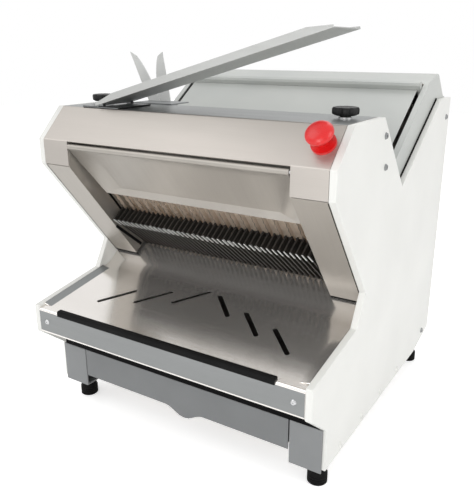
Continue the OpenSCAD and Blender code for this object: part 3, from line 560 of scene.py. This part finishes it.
# %% Settling a tree
def settled(name, tree, values, points=(), facing=()):
    """Runs a tree on points that face their own ways and returns the result as a plain mesh object."""
    mesh = bpy.data.meshes.new(name)
    mesh.from_pydata(points, [], [])
    arrows = mesh.attributes.new("facing", "FLOAT_VECTOR", "POINT")
    for k, way in enumerate(facing):
        arrows.data[k].vector = way
    piece = bpy.data.objects.new(name, mesh)
    scene.collection.objects.link(piece)
    modifier = piece.modifiers.new("repeat", "NODES")
    modifier.node_group = tree
    for item in tree.interface.items_tree:
        if item.in_out == "INPUT" and item.name in values:
            modifier[item.identifier] = values[item.name]
    made = applied(piece, modifier)
    shade(made)
    print(name, "faces:", len(made.polygons))
    return piece


def strip_row(name, count, start, step, size, material, cuts=2, tooth=0.0, lean=0.0):
    """A row of strips in even steps, each leaning about X."""
    return settled(name, strips, {"Count": count, "Start": start, "Step": step, "Size": size, "Cuts": cuts,
                                  "Tooth": tooth, "Turn": (lean, 0.0, 0.0), "Material": material})


def strip_pair(name, spot, size, material, lean=0.0):
    """Two strips at the same place left and right."""
    x, y, z = spot
    return strip_row(name, 2, (-x, y, z), (2.0 * x, 0.0, 0.0), size, material, lean=lean)


# %% [markdown]
# Bread blades come in two frames that saw against each other, so neighbours sit in different frames.
# Their places across are read from the solids. A blade is hard to model in its slanting place, so the
# rows are made upright and then tipped into the plane of the mouth. The toothed front edges are painted
# dark, as shade between the blades.

# %% Blades
half_depth = cad_high.y
mouth_top = Vector((0.0, 0.052 - half_depth, 0.5))
mouth = Matrix.Translation(mouth_top) @ Matrix.Rotation(mouth_tilt, 4, "X")
blades_in_frame = 20
blade_size = Vector((0.0008, 0.006, 0.294))
blade_middle = 0.004 - blade_size.z / 2.0
tooth_depth = 0.0009
for node, depth in (("front_blades", 0.0415), ("rear_blades", 0.0565)):
    low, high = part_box(node)
    first = low.x + blade_size.x / 2.0
    blade_step = (high.x - low.x - blade_size.x) / (blades_in_frame - 1)
    row = strip_row(node + "_toothed", blades_in_frame, (first, depth, blade_middle), (blade_step, 0.0, 0.0),
                    blade_size, blade_steel, cuts=43, tooth=tooth_depth)
    # Painted shade: the blades' front edges take a dark finish.
    second_finish(row, blade_edge_shade, forwards, likeness=0.9)
    row.data.transform(mouth)
    show(row, body_of[node], slot_of[node], node)

# %% [markdown]
# The fins of the comb are painted dark, as shade between them. A pale strip on each fin's front end is a
# painted highlight where the front edges catch the light. The strips lean with the front edges of the
# fins, which run back towards the blades as they go down.

# %% Fin tips, painted highlights
fin_count = 39
pitch = blade_step / 2.0
fin_run_back = 0.028
fin_height = 0.120
fin_lean = math.atan2(fin_run_back, fin_height)
tip_size = Vector((0.003, 0.003, 0.024))
tip_top = Vector((0.0, 0.0008, -0.1535))
first_tip = (-(fin_count - 1) / 2.0 * pitch, 0.0, -tip_size.z / 2.0)
# Painted highlights: pale strips on the fins' front ends.
tip_highlights = strip_row("fin_tip_highlights", fin_count, first_tip, (pitch, 0.0, 0.0), tip_size, finishes["pale_plastic"])
tip_highlights.data.transform(mouth @ Matrix.Translation(tip_top) @ Matrix.Rotation(fin_lean, 4, "X"))
show(tip_highlights, "machine", "pale_plastic")

# %% [markdown]
# Both columns have black seals: one at the foot, one along the outer edge and two on the inner wall, of
# which the lower one leans with the fins. A seal could be painted on as a dark line, but a thin solid
# strip also shows from the side. Each is a row of two strips, with its place, its size and its lean in
# the plane of the mouth.

# %% Column seals
column_seals = {"wall_strip": ((0.2225, 0.034, -0.135), (0.001, 0.004, 0.26), 0.0),
                "comb_seal": ((0.2225, 0.0117, -0.224), (0.001, 0.006, 0.093), fin_lean),
                "foot_seal": ((0.253, 0.0008, -0.2742), (0.059, 0.002, 0.004), 0.0),
                "edge_seal": ((0.2823, 0.0004, -0.137), (0.0012, 0.0014, 0.268), 0.0)}
for label, (spot, size, lean) in column_seals.items():
    seals = strip_pair("column_" + label, spot, size, finishes["black_rubber"], lean)
    seals.data.transform(mouth)
    show(seals, "machine", "black_rubber")

# %% [markdown]
# A thin black lip seals the rear edge of each V cut against the chute's cheek. It lies along the edge, so
# the same pair of strips is laid back by the slope of the cut and carried to the middle of the solid it
# stands for.

# %% Seals of the V cut
cut_run = 0.218
cut_rise = 0.137
cut_lean = math.atan2(cut_run, cut_rise)
lip_size = Vector((0.0024, 0.003, 0.2505))
seal_width = 0.006
low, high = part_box("vee_seals")
lip_x = high.x - seal_width + lip_size.x / 2.0
lips = strip_pair("vee_seal_lips", (lip_x, 0.0, 0.0), lip_size, finishes["black_rubber"])
lips.data.transform(Matrix.Translation((low + high) / 2.0) @ Matrix.Rotation(-cut_lean, 4, "X"))
show(lips, body_of["vee_seals"], slot_of["vee_seals"], "vee_seals")

# %% [markdown]
# The rear cover lets warm air out through two stacks of slots. A slat leans over each slot and keeps
# fingers and splashes out. This is the strip tree once more, with its steps going upwards.

# %% Louvre slats
cover_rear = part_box("rear_cover")[1].y
slat_size = (0.062, 0.0008, 0.0075)
slat_lean = math.radians(-25.0)
slat_count = 10
slat_proud = 0.001
lowest_slat = 0.1155
slat_step = (0.0, 0.0, 0.014)
for stack, middle_x in (("left", 0.015), ("right", 0.105)):
    start = (middle_x, cover_rear + slat_proud, lowest_slat)
    slats = strip_row("louvre_slats_" + stack, slat_count, start, slat_step, slat_size, finishes["stainless"],
                      lean=slat_lean)
    show(slats, "machine", "stainless")

# %% [markdown]
# Bolts hold the side panels to the frame behind them. A head is a low cone with a six-sided socket cut
# into it; it is turned so that its own upright follows the arrow stored on each point.

# %% The tree for bolt heads
heads, given, result = new_tree("bolt heads", [
    ("Points", "Geometry"), ("Radius", "Float"), ("Height", "Float"), ("Socket", "Float"),
    ("Material", "Material")])
cap_share = 0.72
cap_radius = put(heads, "ShaderNodeMath", {0: given["Radius"], 1: cap_share}, operation="MULTIPLY")[0]
cone = put(heads, "GeometryNodeMeshCone", {"Vertices": 20, "Radius Top": cap_radius,
                                           "Radius Bottom": given["Radius"], "Depth": given["Height"]})
socket = put(heads, "GeometryNodeMeshCylinder",
             {"Vertices": 6, "Radius": given["Socket"], "Depth": given["Height"]})
lift = put(heads, "ShaderNodeCombineXYZ", {"Z": given["Height"]})[0]
lifted = put(heads, "GeometryNodeTransform", {"Geometry": socket["Mesh"], "Translation": lift})[0]
cut = put(heads, "GeometryNodeMeshBoolean", {"Mesh 1": cone["Mesh"], "Mesh 2": lifted},
          operation="DIFFERENCE")["Mesh"]
arrow = put(heads, "GeometryNodeInputNamedAttribute", {"Name": "facing"}, data_type="FLOAT_VECTOR")
turned = put(heads, "FunctionNodeAlignRotationToVector", {"Vector": arrow["Attribute"]}, axis="Z")[0]
placed_copies(heads, given["Points"], cut, turned, given["Material"], result)

# %% [markdown]
# The bolts of the two panels sit at the same places left and right: two by the head, one behind the
# chute, one low at the rear, and a row along the base whose heads are painted over. Each place is a
# set-back from the front and a height.

# %% Panel bolts
def set_back(distance):
    """Y of a place that is so far behind the front."""
    return distance - half_depth


def head_row(name, material, points, facing, radius, height, socket):
    """Bolt or screw heads on points that face their own ways."""
    sizes = {"Radius": radius, "Height": height, "Socket": socket, "Material": material}
    return settled(name, heads, sizes, points, facing)


sides = (-1.0, 1.0)
panel_face = 0.295
panel_spots = [(0.243, 0.570), (0.252, 0.518), (0.624, 0.565), (0.597, 0.083)]
base_spots = [(0.122 + 0.1 * k, 0.066) for k in range(4)]
bolt_rows = (("panel", panel_spots, dull_and_shaded_steel), ("base", base_spots, finishes["white_paint"]))
for label, spots_there, coat in bolt_rows:
    bolt_points = [(side * panel_face, set_back(f), z) for side in sides for f, z in spots_there]
    bolt_facing = [(math.copysign(1.0, point[0]), 0.0, 0.0) for point in bolt_points]
    bolts = head_row(label + "_bolt_heads", coat, bolt_points, bolt_facing,
                     radius=0.006, height=0.003, socket=0.0026)
    show(bolts, "machine", slot_of["panel_bolts"], "panel_bolts")

# %% [markdown]
# The tray's two screws and the rear cover's six use the same tree with smaller heads. The tray's, on its
# front lip, are the flattest.

# %% Tray and cover screws
tray_screw_r = 0.005
lip_set_back = 0.002
screw_low, screw_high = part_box("tray_screws")
screw_x = screw_high.x - tray_screw_r
screw_z = (screw_low.z + screw_high.z) / 2.0
tray_points = [(side * screw_x, set_back(lip_set_back), screw_z) for side in sides]
tray_heads = head_row("tray_screw_heads", finishes["bright_steel"], tray_points,
                      [forwards] * len(tray_points), radius=tray_screw_r, height=0.0018, socket=0.002)
show(tray_heads, "machine", slot_of["tray_screws"], "tray_screws")

backwards = (0.0, 1.0, 0.0)
cover_screw_x = 0.27
cover_screw_heights = (0.09, 0.33, 0.57)
cover_points = [(side * cover_screw_x, cover_rear, z) for side in sides for z in cover_screw_heights]
cover_heads = head_row("rear_cover_screws", finishes["bright_steel"], cover_points,
                       [backwards] * len(cover_points), radius=0.005, height=0.0025, socket=0.002)
show(cover_heads, "machine", "bright_steel")

# %% [markdown]
# ## Turned and moulded pieces
# Knobs, feet and the stop button are round, so each is a profile swept around an axis. A screw modifier
# could do it. A few lines of mesh code also allow flutes, which are a wave on the radius, and close the
# poles cleanly.

# %% A lathe
def lathe(name, profile, place, material, steps=48, flutes=0, bite=0.0):
    """Sweeps (radius, height) pairs around Z; a wave bites into the radius where flutes are asked for."""
    build = bmesh.new()
    rings = []
    for radius, height in profile:
        ring = []
        for k in range(steps if radius else 1):
            angle = 2.0 * math.pi * k / steps
            wide = radius * (1.0 - bite * max(0.0, math.cos(flutes * angle))) if flutes else radius
            point = Vector((wide * math.cos(angle), wide * math.sin(angle), height))
            ring.append(build.verts.new(place @ point))
        rings.append(ring)
    for low, high in zip(rings, rings[1:]):
        for k in range(steps):
            lower = [low[k % len(low)], low[(k + 1) % len(low)]]
            upper = [high[(k + 1) % len(high)], high[k % len(high)]]
            corners = list(dict.fromkeys(lower + upper))
            if len(corners) > 2:
                build.faces.new(corners)
    mesh = bpy.data.meshes.new(name)
    build.to_mesh(mesh)
    build.free()
    mesh.materials.append(material)
    shade(mesh)
    piece = bpy.data.objects.new(name, mesh)
    scene.collection.objects.link(piece)
    print(name, "faces:", len(mesh.polygons))
    return piece


# %% [markdown]
# The stop button is a red mushroom: a stem, a flared skirt that fingers can pull, and a rounded top to
# strike. It stands square to the sloped face. Its collar tells where, so that it stays there if the
# solids change.

# %% Stop button
def dome(radius, start, top, steps=6):
    """Points of a rounded top from a radius at one height to the axis at another."""
    turns = [math.radians(90.0 * k / steps) for k in range(steps)]
    return [(radius * math.cos(a), start + (top - start) * math.sin(a)) for a in turns] + [(0.0, top)]


slope = math.radians(45.0)
outward = Vector((0.0, -math.sin(slope), math.cos(slope)))
collar_low, collar_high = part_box("button_collar")
foot_rise = 0.001
button_foot = (collar_low + collar_high) / 2.0 + foot_rise * outward
button_place = Matrix.Translation(button_foot) @ Matrix.Rotation(slope, 4, "X")
stem_profile = [(0.0, -0.0005), (0.009, -0.0005), (0.009, 0.0095)]
skirt_profile = [(0.0105, 0.0105), (0.013, 0.0125), (0.017, 0.0165), (0.0205, 0.0195), (0.021, 0.021)]
button_profile = stem_profile + skirt_profile + dome(0.021, 0.022, 0.032)
button = lathe("stop_button_mushroom", button_profile, button_place, finishes["red_plastic"])
show(button, "button", slot_of["stop_button"], "stop_button")

# %% [markdown]
# A clamp knob is a star grip on a short stud with a hub. Its finger grooves are eight flutes. Grip and
# stem are two sweeps, because a wave on the radius would bite into the stud as well. Heights are counted
# down from the top of the knob.

# %% Clamp knobs
for node in ("left_knob", "right_knob"):
    low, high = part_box(node)
    centre = Matrix.Translation(((low.x + high.x) / 2.0, (low.y + high.y) / 2.0, low.z))
    top = high.z - low.z
    stud = [(0.0, 0.0), (0.004, 0.0), (0.004, top - 0.015)]
    hub = [(0.009, top - 0.015), (0.009, top - 0.0118), (0.0, top - 0.0118)]
    stem = lathe(node + "_stem", stud + hub, centre, finishes["black_plastic"], steps=24)
    grip = [(0.0, top - 0.0128), (0.016, top - 0.0128), (0.0205, top - 0.0103), (0.021, top - 0.0083),
            (0.021, top - 0.0028), (0.0195, top - 0.0005), (0.016, top), (0.013, top - 0.0008),
            (0.0, top - 0.0008)]
    star = lathe(node + "_star", grip, centre, finishes["black_plastic"], steps=64, flutes=8, bite=0.14)
    show(stem, body_of[node], slot_of[node], node)
    show(star, body_of[node], slot_of[node], node)

# %% [markdown]
# A rubber foot is a short barrel with three grooves, so that it gives a little when the machine shakes.
# The grooves could be a bump in the finish, but they show in the outline, so they are in the profile.

# %% Rubber feet
low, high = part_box("rubber_feet")
foot_r = 0.0175
groove_depth = 0.0012
foot_profile = [(0.0, 0.0), (foot_r - 0.001, 0.0), (foot_r, 0.001)]
for groove in (0.005, 0.010, 0.015):
    foot_profile += [(foot_r, groove - 0.001), (foot_r - groove_depth, groove), (foot_r, groove + 0.001)]
foot_profile += [(foot_r, 0.018), (foot_r - 0.0035, high.z), (0.0, high.z)]
for across, x in (("left", low.x + foot_r), ("right", high.x - foot_r)):
    for along, y in (("front", low.y + foot_r), ("rear", high.y - foot_r)):
        foot = lathe("foot_" + across + "_" + along, foot_profile, Matrix.Translation((x, y, 0.0)),
                     finishes["black_rubber"], steps=32)
        show(foot, "machine", slot_of["rubber_feet"], "rubber_feet")
